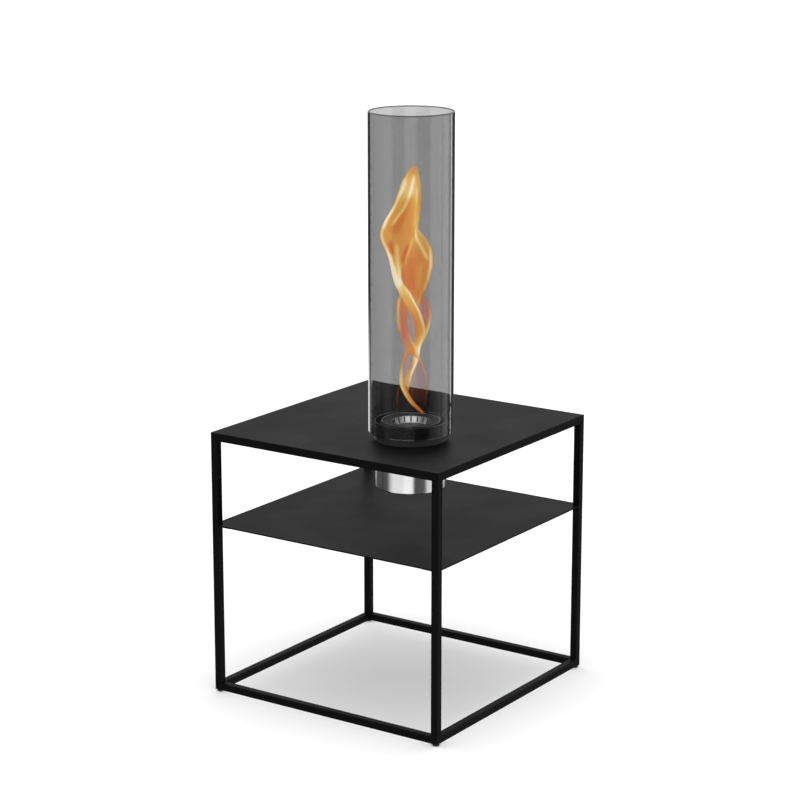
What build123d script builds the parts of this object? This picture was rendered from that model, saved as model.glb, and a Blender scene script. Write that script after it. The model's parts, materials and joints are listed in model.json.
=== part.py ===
from build123d import *
import os
from math import cos, radians, sin, tan

# Fire pit table, in millimetres
# A cube frame of thin square tube carries a sheet top and a sheet shelf. A swirl
# burner with a tall glass chimney sits in a hole in the top, towards one corner.
# The origin is on the floor under the middle of the table, +Z is up, the front is -Y.

# Frame of square tube
table_side = 400.0
frame_height = 398.2
tube_size = 11.0
tube_wall = 1.0
tube_corner_radius = 0.5

# Sheet top and shelf
top_thickness = 1.2
shelf_thickness = 2.0
shelf_drop = 140.7
notch_clearance = 0.3
sheet_edge_chamfer = 0.3

# Foot glides, pressed into the legs
glide_height = 3.2
glide_diameter = 10.2
glide_plug_length = 14.0
glide_plug_clearance = 0.1
glide_edge_chamfer = 1.0

# Corner plates under the top, with weld studs and nuts
corner_plate_leg = 45.0
corner_plate_thickness = 2.0
stud_inset = 13.0
stud_diameter = 5.0
stud_length = 11.0
stud_hole_clearance = 0.25
nut_across_flats = 8.0
nut_thickness = 4.0
thread_clearance = 0.02

# Brackets that carry the shelf
bracket_arm = 18.0
bracket_margin = 4.0
bracket_thickness = 2.0

# Place of the burner, measured from the middle of the table
burner_x = 60.5
burner_y = -60.5

# Glass chimney
glass_diameter = 123.5
glass_wall = 3.0
glass_length = 466.0
glass_lift = 10.2
glass_rim_chamfer = 0.7

# Swirl body: outer wall, channels with vanes, and a bore for the fuel can
air_gap = 5.25
swirl_height = 27.2
swirl_wall = 2.0
swirl_edge_radius = 0.7
channel_width = 8.5
bore_wall = 1.5
swirl_floor = 2.5
vane_count = 4
vane_thickness = 1.8
vane_sweep = 72.0
vane_bulge = 1.7
vane_start = 17.6
vane_foot = 0.7
vane_recess = 0.9
vane_lap = 3.0

# Air inlets, each a triangle between the wall and the vane behind it
inlet_span = 18.3
inlet_sill = 9.5
inlet_tip_height = 14.3
inlet_notch = 1.6
inlet_toe = 3.3
inlet_slit_height = 1.6
inlet_slit_depth = 6.0

# Lugs that hold the glass up and centre it
lug_count = 4
lug_width = 3.0
lug_offset = 13.35
lug_height = 6.0
lug_root = 1.0
lug_tip_inset = 1.0
lug_chin = 2.0
glass_clearance = 0.4

# Cup under the top, and the hole that it hangs in
seat_width = 1.4
cup_clearance = 0.3
cup_wall = 0.8
cup_drop = 71.7
cup_corner_radius = 1.8
cup_lip_gap = 2.0

# Screws that hold the cup to the swirl body
screw_count = 4
screw_diameter = 3.0
screw_head_diameter = 5.5
screw_head_height = 1.8
screw_depth = 6.5
screw_hole_clearance = 0.2
screw_margin = 0.3
boss_wall = 1.7
boss_height = 9.0

# Fuel can with its funnel and ceramic wool
can_clearance = 0.5
can_wall = 0.8
can_floor_gap = 5.0
can_corner_radius = 4.0
funnel_clearance = 0.3
funnel_rim = 1.2
funnel_rim_width = 3.0
funnel_sheet = 0.9
funnel_step = 0.8
funnel_width = 14.3
funnel_slope_drop = 1.7
collar_length = 14.0
collar_draft = 17.0
slot_count = 18
slot_start = 4.0
slot_width = 2.0
slot_length = 7.6
slot_below_edge = 0.7
wool_depth = 8.3
wool_clearance = 0.3
wool_shoulder_gap = 1.0

# Heights worked out from the sizes above
frame_bottom = glide_height
frame_top = frame_bottom + frame_height
top_surface = frame_top + top_thickness
shelf_surface = top_surface - shelf_drop
inner_half = table_side / 2 - tube_size

# Radii of the burner, worked inwards from the glass
glass_radius = glass_diameter / 2
glass_bore = glass_radius - glass_wall
swirl_radius = glass_bore - air_gap
channel_outer = swirl_radius - swirl_wall
bore_wall_radius = channel_outer - channel_width
bore_radius = bore_wall_radius - bore_wall
can_radius = bore_radius - can_clearance
funnel_radius = bore_wall_radius - funnel_clearance
collar_radius = funnel_radius - funnel_width
hole_radius = swirl_radius - seat_width
cup_radius = hole_radius - cup_clearance
cup_bore = cup_radius - cup_wall
screw_circle = cup_bore - screw_head_diameter / 2 - screw_margin

# Heights in the burner, above the surface of the top
seat_height = swirl_height - funnel_rim
collar_top = swirl_height - funnel_slope_drop
collar_bottom = collar_top - collar_length
wool_top = collar_top - wool_depth
can_bottom = -(cup_drop - cup_wall - can_floor_gap)
collar_foot_radius = collar_radius - collar_length * tan(radians(collar_draft))

corner_names = ["front_right", "back_right", "back_left", "front_left"]
side_names = ["front", "right", "back", "left"]


def polar_point(radius, angle):
    return (radius * cos(radians(angle)), radius * sin(radians(angle)))


def ring(outer, inner, low, high):
    disc = Circle(outer) - Circle(inner)
    return Pos(0, 0, low) * extrude(disc, high - low)


def turned(points):
    # A solid of revolution from its half section, as points of radius and height
    section = make_face(Polyline([(r, 0, z) for r, z in points], close=True))
    return revolve(section, Axis.Z)


def at_corners(name, piece):
    # The front right piece, repeated at each corner of the table
    return {f"{name}_{corner}": Rot(0, 0, 90 * i) * piece for i, corner in enumerate(corner_names)}


def at_sides(name, piece):
    return {f"{name}_{side}": Rot(0, 0, 90 * i) * piece for i, side in enumerate(side_names)}


def square_tube(length):
    outline = RectangleRounded(tube_size, tube_size, tube_corner_radius)
    bore = Rectangle(tube_size - 2 * tube_wall, tube_size - 2 * tube_wall)
    return extrude(outline - bore, length)


def leg():
    centre = inner_half + tube_size / 2
    return Pos(centre, -centre, frame_bottom) * square_tube(frame_height)


def rail(bottom):
    # A tube that butts against the two front legs
    centre = inner_half + tube_size / 2
    return Pos(-inner_half, -centre, bottom + tube_size / 2) * Rot(0, 90, 0) * square_tube(2 * inner_half)


def foot_glide():
    centre = inner_half + tube_size / 2
    foot = Pos(0, 0, glide_height / 2) * Cylinder(glide_diameter / 2, glide_height)
    foot = chamfer(foot.edges().sort_by(Axis.Z)[0], min(glide_edge_chamfer, glide_height / 2))
    plug_side = tube_size - 2 * tube_wall - 2 * glide_plug_clearance
    plug = Pos(0, 0, glide_height) * extrude(Rectangle(plug_side, plug_side), glide_plug_length)
    plug = chamfer(plug.faces().sort_by(Axis.Z)[-1].edges(), glide_edge_chamfer)
    return Pos(centre, -centre, 0) * (foot + plug)


def table_top():
    sheet = RectangleRounded(table_side, table_side, tube_corner_radius)
    plate = Pos(0, 0, frame_top) * extrude(sheet, top_thickness)
    plate = chamfer(plate.faces().sort_by(Axis.Z)[-1].edges(), sheet_edge_chamfer)
    hole = Pos(burner_x, burner_y, frame_top) * extrude(Circle(hole_radius), top_thickness)
    return plate - hole


def shelf():
    notch_side = tube_size + notch_clearance
    sheet = Rectangle(table_side, table_side)
    for angle in range(0, 360, 90):
        corner = table_side / 2 - notch_side / 2
        sheet -= Rot(0, 0, angle) * Pos(corner, corner) * Rectangle(notch_side, notch_side)
    plate = Pos(0, 0, shelf_surface - shelf_thickness) * extrude(sheet, shelf_thickness)
    return chamfer(plate.faces().sort_by(Axis.Z)[-1].edges(), sheet_edge_chamfer)


def corner_plate():
    tip = inner_half - corner_plate_leg
    triangle = make_face(Polyline([(inner_half, -inner_half), (inner_half, -tip), (tip, -inner_half)], close=True))
    stud = inner_half - stud_inset
    hole = Pos(stud, -stud) * Circle(stud_diameter / 2 + stud_hole_clearance)
    return Pos(0, 0, frame_top - corner_plate_thickness) * extrude(triangle - hole, corner_plate_thickness)


def top_stud():
    stud = inner_half - stud_inset
    pin = extrude(Circle(stud_diameter / 2), stud_length)
    pin = chamfer(pin.edges().sort_by(Axis.Z)[0], thread_clearance + stud_diameter / 10)
    return Pos(stud, -stud, frame_top - stud_length) * pin


def top_nut():
    stud = inner_half - stud_inset
    hexagon = RegularPolygon(nut_across_flats / 2, 6, major_radius=False)
    nut = extrude(hexagon - Circle(stud_diameter / 2 + thread_clearance), nut_thickness)
    return Pos(stud, -stud, frame_top - corner_plate_thickness - nut_thickness) * nut


def shelf_bracket():
    # A plate notched round the leg's inner edge, welded to the leg under the shelf
    low = inner_half - bracket_arm
    high = inner_half + tube_size - bracket_margin
    side = high - low
    middle = (low + high) / 2
    plate = Pos(middle, -middle) * Rectangle(side, side)
    leg_place = inner_half + tube_size / 2
    plate -= Pos(leg_place, -leg_place) * Rectangle(tube_size, tube_size)
    top = shelf_surface - shelf_thickness
    return Pos(0, 0, top - bracket_thickness) * extrude(plate, bracket_thickness)


def inlet_plane():
    # The tangent plane at an inlet's middle, inside the wall and seen from outside
    angle = -inlet_span / 2
    x, y = polar_point(swirl_radius - swirl_wall / 2, angle)
    out_x, out_y = polar_point(1, angle)
    return Plane(origin=(x, y, 0), x_dir=(-out_y, out_x, 0), z_dir=(out_x, out_y, 0))


def inlet_cutter():
    # A triangle cut off by the top of the wall
    half = swirl_radius * sin(radians(inlet_span / 2))
    slope = (swirl_height - inlet_tip_height) / (2 * half - inlet_notch)
    far_corner = swirl_height + inlet_notch * slope
    outline = [(inlet_toe - half, inlet_sill), (half, inlet_sill), (half, far_corner), (-half, inlet_tip_height)]
    return extrude(inlet_plane() * make_face(Polyline(outline, close=True)), swirl_wall * 1.5, both=True)


def inlet_slit():
    # A gap in the vane at the inlet's foot
    half = swirl_radius * sin(radians(inlet_span / 2))
    centre = Pos(inlet_toe / 2, inlet_sill + inlet_slit_height / 2)
    slit = Rectangle(2 * half - inlet_toe, inlet_slit_height)
    return extrude(inlet_plane() * centre * slit, -inlet_slit_depth)


def vane():
    # A blade that leaves the outer wall, a little inside its face, and curves in to the bore
    start_radius = swirl_radius - vane_recess - vane_thickness / 2
    end_radius = bore_wall_radius - vane_foot
    middle_radius = (start_radius + end_radius) / 2 + vane_bulge
    start = polar_point(start_radius, vane_lap)
    middle = polar_point(middle_radius, -vane_sweep / 2)
    end = polar_point(end_radius, -vane_sweep)
    return extrude(trace(ThreePointArc(start, middle, end), vane_thickness), swirl_height)


def lug():
    root = swirl_radius - lug_root
    tip = glass_radius - lug_tip_inset
    guide = glass_bore - glass_clearance
    top = glass_lift + lug_height
    chin = glass_lift - lug_chin
    fall = tip - swirl_radius
    points = [(root, chin - fall / 2), (swirl_radius, chin - fall / 2), (tip, chin), (tip, glass_lift),
              (guide, glass_lift), (guide, top - lug_root), (guide - lug_root, top), (root, top)]
    profile = make_face(Polyline([(r, 0, z) for r, z in points], close=True))
    return extrude(profile, lug_width / 2, both=True)


def swirl_body():
    wall = ring(swirl_radius, channel_outer, 0, swirl_height)
    wall = fillet(wall.edges().group_by(Axis.Z)[-1].sort_by(SortBy.LENGTH)[-1], swirl_edge_radius)
    pitch = 360 / vane_count
    for i in range(vane_count):
        wall -= Rot(0, 0, vane_start + pitch * i) * inlet_cutter()
    body = wall + ring(channel_outer + lug_root / 2, bore_radius, 0, swirl_floor)
    body += ring(bore_wall_radius, bore_radius, 0, seat_height)
    envelope = Cylinder(swirl_radius, swirl_height, align=(Align.CENTER, Align.CENTER, Align.MIN))
    for i in range(vane_count):
        body += (Rot(0, 0, vane_start + pitch * i) * vane()) & envelope
    for i in range(vane_count):
        body -= Rot(0, 0, vane_start + pitch * i) * inlet_slit()
    for i in range(lug_count):
        body += Rot(0, 0, vane_start + lug_offset + 360 / lug_count * i) * lug()
    boss_radius = screw_diameter / 2 + boss_wall
    for i in range(screw_count):
        x, y = polar_point(screw_circle, screw_angle(i))
        boss = ring(boss_radius, screw_diameter / 2 + thread_clearance, 0, boss_height)
        body += (Pos(x, y) * boss) & envelope
    for i in range(screw_count):
        x, y = polar_point(screw_circle, screw_angle(i))
        body -= Pos(x, y) * extrude(Circle(screw_diameter / 2 + thread_clearance), boss_height)
    body -= Cylinder(bore_radius, 4 * swirl_height)
    # The funnel's rim drops in between the ends of the vanes
    return body - ring_disc(bore_wall_radius, seat_height, 2 * swirl_height)


def screw_angle(i):
    # The bosses stand on the vanes, near their middle
    return vane_start - vane_sweep / 2 + 360 / screw_count * i


def cup_screw(i):
    x, y = polar_point(screw_circle, screw_angle(i))
    head = ring_disc(screw_head_diameter / 2, -cup_wall - screw_head_height, -cup_wall)
    shank = ring_disc(screw_diameter / 2, -cup_wall, screw_depth)
    return Pos(x, y) * (head + shank)


def ring_disc(radius, low, high):
    return Pos(0, 0, low) * extrude(Circle(radius), high - low)


def drawn_cup(radius, wall, bottom, top, corner):
    # A cup of sheet with a rounded bottom edge
    outside = Pos(0, 0, bottom) * extrude(Circle(radius), top - bottom)
    outside = fillet(outside.edges().sort_by(Axis.Z)[0], corner)
    inside = Pos(0, 0, bottom + wall) * extrude(Circle(radius - wall), top - bottom)
    inside = fillet(inside.edges().sort_by(Axis.Z)[0], corner - wall)
    return outside - inside


def burner_cup():
    cup = drawn_cup(cup_radius, cup_wall, -cup_drop, -cup_wall / 2, cup_corner_radius)
    cup += ring(cup_radius, bore_radius + cup_lip_gap, -cup_wall, 0)
    for i in range(screw_count):
        x, y = polar_point(screw_circle, screw_angle(i))
        hole = Circle(screw_diameter / 2 + screw_hole_clearance)
        cup -= Pos(x, y, -cup_wall) * extrude(hole, cup_wall)
    return cup


def fuel_can():
    return drawn_cup(can_radius, can_wall, can_bottom, seat_height, can_corner_radius)


def collar_inside(height):
    # The radius of the tapered collar's inner face at a height
    return collar_radius - (collar_top - height) * tan(radians(collar_draft))


def can_funnel():
    # The rim lies on the swirl body, a step and a cone fall inwards to a slotted, tapered collar
    flat = funnel_radius - funnel_rim_width
    bend = collar_top - funnel_rim
    funnel = turned([
        (funnel_radius, seat_height), (funnel_radius, swirl_height), (flat, swirl_height),
        (flat - funnel_step, swirl_height - funnel_step), (collar_radius, collar_top),
        (collar_foot_radius, collar_bottom), (collar_foot_radius + funnel_sheet, collar_bottom),
        (collar_inside(bend) + funnel_sheet, bend),
        (flat - funnel_step, swirl_height - funnel_step - funnel_rim), (flat, seat_height)])
    slot_top = collar_top - slot_below_edge
    slot_middle = slot_top - slot_length / 2
    for i in range(slot_count):
        place = Pos(collar_inside(slot_middle) + funnel_sheet / 2, 0, slot_middle)
        funnel -= Rot(0, 0, slot_start + 360 / slot_count * i) * place * Box(collar_length / 2, slot_width, slot_length)
    return funnel


def ceramic_wool():
    floor = can_bottom + can_wall
    wide = can_radius - can_wall - wool_clearance
    shoulder = collar_bottom - wool_shoulder_gap
    neck = collar_foot_radius - wool_clearance
    return turned([
        (0, floor), (wide - can_corner_radius, floor), (wide, floor + can_corner_radius),
        (wide, shoulder), (neck, shoulder), (neck, collar_bottom),
        (collar_inside(wool_top) - wool_clearance, wool_top), (0, wool_top)])


def glass_chimney():
    tube = ring(glass_radius, glass_bore, glass_lift, glass_lift + glass_length)
    return chamfer(tube.edges().filter_by(GeomType.CIRCLE), min(glass_rim_chamfer, glass_wall / 2.5))


parts = {}
parts.update(at_corners("leg", leg()))
parts.update(at_sides("top_rail", rail(frame_top - tube_size)))
parts.update(at_sides("bottom_rail", rail(frame_bottom)))
parts["table_top"] = table_top()
parts["shelf"] = shelf()
parts.update(at_corners("corner_plate", corner_plate()))
parts["top_studs"] = Compound(children=list(at_corners("stud", top_stud()).values()))
parts["top_nuts"] = Compound(children=list(at_corners("nut", top_nut()).values()))
parts.update(at_corners("shelf_bracket", shelf_bracket()))
parts.update(at_corners("foot_glide", foot_glide()))

burner = {
    "swirl_body": swirl_body(),
    "burner_cup": burner_cup(),
    "cup_screws": Compound(children=[cup_screw(i) for i in range(screw_count)]),
    "fuel_can": fuel_can(),
    "can_funnel": can_funnel(),
    "ceramic_wool": ceramic_wool(),
    "glass_chimney": glass_chimney(),
}
for name, piece in burner.items():
    parts[name] = Pos(burner_x, burner_y, top_surface) * piece

os.makedirs("parts", exist_ok=True)
for name, piece in parts.items():
    export_step(piece, f"parts/{name}.step")
    box = piece.bounding_box().size
    print(f"{name}: {piece.volume:.0f} mm3, {box.X:.1f} x {box.Y:.1f} x {box.Z:.1f} mm")
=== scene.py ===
# %% [markdown]
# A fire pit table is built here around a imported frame. The frame holds every rigid piece at
# its real size, so this script makes what such a frame lacks: the finish of each surface, the
# glass as one smooth body, weld beads, threads, fibres and the flame. Lengths are in metres,
# +Z is up, and the origin is on the floor under the middle of the table. The cells are meant
# to be read from top to bottom, because each one uses only what stands above it.

# %% Load the fixed frame
import bpy
import math
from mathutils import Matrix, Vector, noise
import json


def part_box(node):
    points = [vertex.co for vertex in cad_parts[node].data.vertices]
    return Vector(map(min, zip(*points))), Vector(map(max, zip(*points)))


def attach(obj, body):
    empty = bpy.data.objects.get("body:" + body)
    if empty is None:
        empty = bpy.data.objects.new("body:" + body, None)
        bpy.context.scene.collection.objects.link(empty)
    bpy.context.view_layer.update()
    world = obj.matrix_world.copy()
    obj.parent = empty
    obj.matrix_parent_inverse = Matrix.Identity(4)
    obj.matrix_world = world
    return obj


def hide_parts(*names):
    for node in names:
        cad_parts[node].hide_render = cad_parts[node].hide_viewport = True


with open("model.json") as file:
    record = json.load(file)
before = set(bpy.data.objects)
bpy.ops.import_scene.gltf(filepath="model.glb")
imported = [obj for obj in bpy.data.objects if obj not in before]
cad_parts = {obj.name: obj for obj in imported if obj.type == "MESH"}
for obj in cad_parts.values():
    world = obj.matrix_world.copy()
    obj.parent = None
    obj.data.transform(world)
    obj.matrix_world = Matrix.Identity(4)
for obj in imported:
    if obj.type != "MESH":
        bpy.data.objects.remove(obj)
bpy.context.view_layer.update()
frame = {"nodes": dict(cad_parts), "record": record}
nodes = frame["nodes"]

# %% [markdown]
# The camera comes first, because every later choice is judged through it. It could be placed
# by eye, but the table's edges are straight and square, so their slopes in the photograph fix
# the lens and the place together. The lens is long, which keeps the legs nearly parallel.

# %% Camera
MM = 0.001


def placed(name, data):
    """A new object at the origin, linked to the scene."""
    made = bpy.data.objects.new(name, data)
    bpy.context.scene.collection.objects.link(made)
    return made


camera_data = bpy.data.cameras.new("camera")
camera_data.lens = 109.23
camera_data.sensor_width = 36.0
camera = placed("camera", camera_data)
camera.location = (1.9715, -2.8888, 1.3041)
camera.rotation_euler = (math.radians(76.0955), 0.0, math.radians(34.313))
bpy.context.scene.camera = camera
LENS_TURN = camera.rotation_euler.z
LENS_FALL = math.tan(math.pi / 2 - camera.rotation_euler.x)
print("camera stands", round(camera.location.length, 2), "m from the table's foot")

# %% [markdown]
# Shader nodes can be wired by hand, one line for each node and one for each link, but maths
# written that way is hard to read. Here one small class wraps a socket, so that Python's own
# operators add the Math nodes, and one method adds every other kind of node.

# %% A short way to write shader maths
class Signal:
    """One output of a shader node. Sums and products of signals add Math nodes."""

    def __init__(self, graph, socket):
        self.graph = graph
        self.socket = socket

    def maths(self, operation, *values):
        sockets = dict(enumerate(values))
        return self.graph.node("ShaderNodeMath", {"operation": operation}, sockets)

    def __add__(self, other):
        return self.maths("ADD", self, other)

    def __sub__(self, other):
        return self.maths("SUBTRACT", self, other)

    def __rsub__(self, other):
        return self.maths("SUBTRACT", other, self)

    def __mul__(self, other):
        return self.maths("MULTIPLY", self, other)

    def __truediv__(self, other):
        return self.maths("DIVIDE", self, other)

    def __pow__(self, other):
        return self.maths("POWER", self, other)

    __radd__ = __add__
    __rmul__ = __mul__


class Graph:
    """A node tree that is emptied and ready to be written."""

    def __init__(self, tree):
        self.tree = tree
        self.tree.nodes.clear()

    def node(self, kind, settings=None, sockets=None, output=0):
        made = self.tree.nodes.new(kind)
        for name, value in (settings or {}).items():
            if name == "stops":
                self.set_stops(made.color_ramp, value)
            else:
                setattr(made, name, value)
        for name, value in (sockets or {}).items():
            if isinstance(value, Signal):
                self.tree.links.new(value.socket, made.inputs[name])
            else:
                made.inputs[name].default_value = value
        return Signal(self, made.outputs[output]) if made.outputs else None

    def set_stops(self, ramp, stops):
        while len(ramp.elements) < len(stops):
            ramp.elements.new(1.0)
        for element, (place, colour) in zip(ramp.elements, stops):
            element.position = place
            element.color = colour

    def place(self, output="Object"):
        return self.node("ShaderNodeTexCoord", output=output)

    def split(self, vector):
        """The x, y and z of a vector."""
        first = self.node("ShaderNodeSeparateXYZ", {}, {0: vector})
        return [Signal(self, socket) for socket in first.socket.node.outputs]

    def stretch(self, vector, scale):
        return self.node("ShaderNodeMapping", {}, {"Vector": vector, "Scale": scale})

    def mark(self, name):
        """A number that is painted on the mesh."""
        return self.node("ShaderNodeAttribute", {"attribute_name": name}, output="Fac")

    def noise(self, vector, scale, detail=2.0, roughness=0.5):
        sockets = {"Vector": vector, "Scale": scale, "Detail": detail, "Roughness": roughness}
        return self.node("ShaderNodeTexNoise", {}, sockets)

    def remap(self, value, low, high, to_low=0.0, to_high=1.0):
        """Takes one range to another, with soft ends."""
        sockets = {"Value": value, "From Min": low, "From Max": high}
        sockets.update({"To Min": to_low, "To Max": to_high})
        return self.node("ShaderNodeMapRange", {"interpolation_type": "SMOOTHSTEP"}, sockets)

    def blend(self, factor, first, second):
        # Colours go through Mix, because a Math node would turn them grey
        sockets = {0: factor, 6: first, 7: second}
        return self.node("ShaderNodeMix", {"data_type": "RGBA"}, sockets, output=2)

    def spread(self, pattern, low, high):
        """A noise spread over a range of values. Most of a noise lies between 0.3 and 0.7."""
        return self.remap(pattern, 0.3, 0.7, low, high)

    def mottle(self, pattern, first, second):
        return self.blend(self.spread(pattern, 0.0, 1.0), first, second)

    def bump(self, height, distance, strength):
        sockets = {"Height": height, "Distance": distance, "Strength": strength}
        return self.node("ShaderNodeBump", {}, sockets)

    def principled(self, sockets):
        shader = self.node("ShaderNodeBsdfPrincipled", {}, sockets)
        self.node("ShaderNodeOutputMaterial", {}, {"Surface": shader})


finishes = {}


def new_finish(name):
    """Makes a material, keeps it under its name, and returns its empty node tree."""
    finishes[name] = bpy.data.materials.new(name)
    finishes[name].use_nodes = True
    return Graph(finishes[name].node_tree)


def grey(level):
    return (level, level, level, 1.0)


def higher(first, second):
    """The greater of two signals."""
    return first.maths("MAXIMUM", first, second)


print("operators ready: + - * / ** and reflected + - *")

# %% [markdown]
# The studio is a wide pale floor under a bright sky. A lamp and a backdrop would do, but a
# product picture on pure white has no visible horizon, so the sky itself is the lamp. What
# gloss reflects is another matter: a real studio has dark corners and tall light panels, and
# these draw the bands on polished steel. The sky therefore shows one face to the lens and to
# matt surfaces, and another, with soft panels, to glossy ones.

# %% Directions in the sky
LENS_LEVEL = 1.0
MATT_LEVEL = 1.04
UPPER_LEVEL = 0.66

world = bpy.data.worlds.new("studio")
bpy.context.scene.world = world
world.use_nodes = True
sky = Graph(world.node_tree)
east, north, up = sky.split(sky.place("Generated"))
flat_length = (east * east + north * north) ** 0.5


def panel(azimuth, half_width, softness):
    """A soft light panel centred on an azimuth, 1 inside and 0 outside, all in degrees."""
    angle = math.radians(azimuth)
    towards = (east * math.cos(angle) + north * math.sin(angle)) / flat_length
    inner = math.cos(math.radians(half_width - softness))
    outer = math.cos(math.radians(half_width + softness))
    return sky.remap(towards, outer, inner)


print("directions are split into east, north and up")

# %% [markdown]
# A polished upright wall mirrors what lies a little under the horizon, and each strip of it
# mirrors another direction. So the bands on the steel cup and on the glass, read from left to
# right, tell where the studio's panels stood: one wide panel in front, a second to the right
# of it, and thin strips far to the sides. The inside of the funnel looks up at a key panel.
# Each panel is given by its azimuth, half its width and its softness, and then its brightness.

# %% Panels that gloss reflects
LOWER_LEVEL = 0.09
KEY_LEVEL = 2.2

front = higher(panel(-97, 28, 14) * 0.88, panel(-65, 17, 5) * 1.08)
side = panel(13, 18, 5) * 0.76 + panel(48, 12, 5) * 0.62 + panel(78, 3, 1.5) * 1.4
back_band = sky.remap(up, -0.235, -0.195, 1.0, 0.0) * sky.remap(up, -0.275, -0.25)
lower = LOWER_LEVEL + front + side + panel(141, 16, 2) * back_band * 1.2
upper = UPPER_LEVEL + panel(150, 60, 50) * 0.14
key = panel(-56, 50, 20) * sky.remap(up, 0.2, 0.34, 0.0, KEY_LEVEL)
above = sky.remap(up, -0.06, 0.06)
glossy = lower * (1 - above) + (upper + key) * above
print("panels stand at azimuths -97, -65, 13, 48, 78 and 141 degrees")

# %% Sky as seen by each kind of ray
path = sky.node("ShaderNodeLightPath")
depths = path.socket.node.outputs
diffuse_depth = Signal(sky, depths["Diffuse Depth"])
glossy_depth = Signal(sky, depths["Glossy Depth"])
after_matt = diffuse_depth.maths("MINIMUM", diffuse_depth, 1.0)
after_gloss = glossy_depth.maths("MINIMUM", glossy_depth, 1.0) * (1 - after_matt)
seen = 1 - after_matt - after_gloss
level = seen * LENS_LEVEL + after_gloss * glossy + after_matt * MATT_LEVEL
background = sky.node("ShaderNodeBackground", {}, {"Color": grey(1.0), "Strength": level})
sky.node("ShaderNodeOutputWorld", {}, {"Surface": background})
bpy.context.scene.view_settings.view_transform = "Standard"
print("sky levels:", LENS_LEVEL, MATT_LEVEL, UPPER_LEVEL)

# %% [markdown]
# Under the table the floor is grey, but just outside it is nearly white. An even sky alone
# would spread the shadow wide. A large soft lamp straight overhead puts the shadow of the top
# between the legs, where the photograph has it. A sun lamp is simplest, because it stands at
# no distance and its angle alone says how soft the shadow's edge is.

# %% Overhead lamp
OVERHEAD_SHARE = 0.25
OVERHEAD_ANGLE = 24

lamp_data = bpy.data.lights.new("overhead", "SUN")
lamp_data.energy = OVERHEAD_SHARE * math.pi
lamp_data.angle = math.radians(OVERHEAD_ANGLE)
lamp = placed("overhead", lamp_data)
lamp.visible_glossy = False
lamp.visible_transmission = False
print("overhead lamp gives", OVERHEAD_SHARE, "of a full sky")

# %% [markdown]
# The floor is one large pale sheet, so wide that its edge never shows. It is left out of
# reflections, because the polished cup in the photograph mirrors the studio and not the floor.

# %% Floor
FLOOR_HALF = 30.0
FLOOR_LEVEL = -0.1 * MM


def mesh_of(name, points, edges=(), faces=()):
    mesh = bpy.data.meshes.new(name)
    mesh.from_pydata(points, edges, faces)
    return mesh


half = FLOOR_HALF
corners = [(x, y, FLOOR_LEVEL) for x, y in ((-half, -half), (half, -half), (half, half), (-half, half))]
floor = placed("floor", mesh_of("floor", corners, [], [(0, 1, 2, 3)]))
floor.visible_glossy = False
paint = new_finish("pale_floor")
pale = paint.mottle(paint.noise(paint.place(), scale=3.0), grey(0.93), grey(0.95))
paint.principled({"Base Color": pale, "Roughness": 0.9, "Specular IOR Level": 0.0})
floor.data.materials.append(finishes["pale_floor"])
print("floor is", 2 * FLOOR_HALF, "m wide")

# %% [markdown]
# Powder coat is sprayed on as dry plastic dust and then baked, so it is nearly black, a little
# glossy, and covered by a fine orange peel. A flat dark colour would look like paper. Two
# noises, one for the peel and one for slow changes of gloss, give it the depth of real paint.

# %% Powder coat
paint = new_finish("powder_coat")
here = paint.place()
peel = paint.noise(here, scale=900.0)
cloud = paint.noise(here, scale=9.0, detail=3.0)
paint.principled({
    "Base Color": paint.mottle(cloud, grey(0.0018), grey(0.0026)),
    "Roughness": paint.spread(cloud, 0.44, 0.5),
    "Specular IOR Level": 0.06,
    "Normal": paint.bump(peel, distance=0.04 * MM, strength=0.35),
})
print("powder coat has", len(paint.tree.nodes), "nodes")

# %% [markdown]
# The burner's body is cast aluminium under a black stove paint. The paint follows the grain
# of the mould, so it is finer and a little lighter than powder coat, and its edges catch light.

# %% Black casting
paint = new_finish("cast_black")
here = paint.place()
grain = paint.noise(here, scale=1600.0, detail=3.0)
cloud = paint.noise(here, scale=30.0)
paint.principled({
    "Base Color": paint.mottle(cloud, grey(0.022), grey(0.03)),
    "Roughness": paint.spread(cloud, 0.34, 0.42),
    "Specular IOR Level": 0.12,
    "Normal": paint.bump(grain, distance=0.03 * MM, strength=0.4),
})
print("black casting has", len(paint.tree.nodes), "nodes")

# %% [markdown]
# Three parts are plain bare steel: the polished cup, the fuel can, and the zinc plated screws.
# They differ only in how bright and how rough they are, so one function makes all three.
# Rolling leaves fine lines in the sheet, and these run round a part that was spun.

# %% Steels
def steel(name, level, smoothest, roughest):
    """Rolled sheet steel: fine lines run round the burner's axis, and gloss varies along them."""
    paint = new_finish(name)
    here = paint.place()
    lines = paint.noise(paint.stretch(here, (60.0, 60.0, 2600.0)), scale=1.0, detail=3.0)
    cloud = paint.noise(here, scale=45.0)
    paint.principled({
        "Base Color": paint.mottle(cloud, grey(level * 0.94), grey(level)),
        "Metallic": 1.0,
        "Roughness": paint.spread(lines, smoothest, roughest),
        "Normal": paint.bump(lines, distance=0.004 * MM, strength=0.3),
    })


steel("polished_steel", 0.78, 0.16, 0.21)
steel("can_steel", 0.62, 0.3, 0.36)
steel("zinc_steel", 0.6, 0.32, 0.38)
print("finishes so far:", ", ".join(finishes))

# %% [markdown]
# The funnel is one sheet, but it doesn't look like one. Its slotted collar stays bright, and
# the flat ring round it has gone dark in the heat. A bright line is painted along the ring's
# outer edge as a highlight. The distance from the burner's axis is all that tells them apart,
# so it mixes the colours.

# %% Funnel steel
FUNNEL_WIDTH = 14.3 * MM

funnel_low, funnel_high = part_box("can_funnel")
axis = (funnel_low + funnel_high) / 2
funnel_radius = (funnel_high.x - funnel_low.x) / 2
mouth_radius = funnel_radius - FUNNEL_WIDTH

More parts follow.
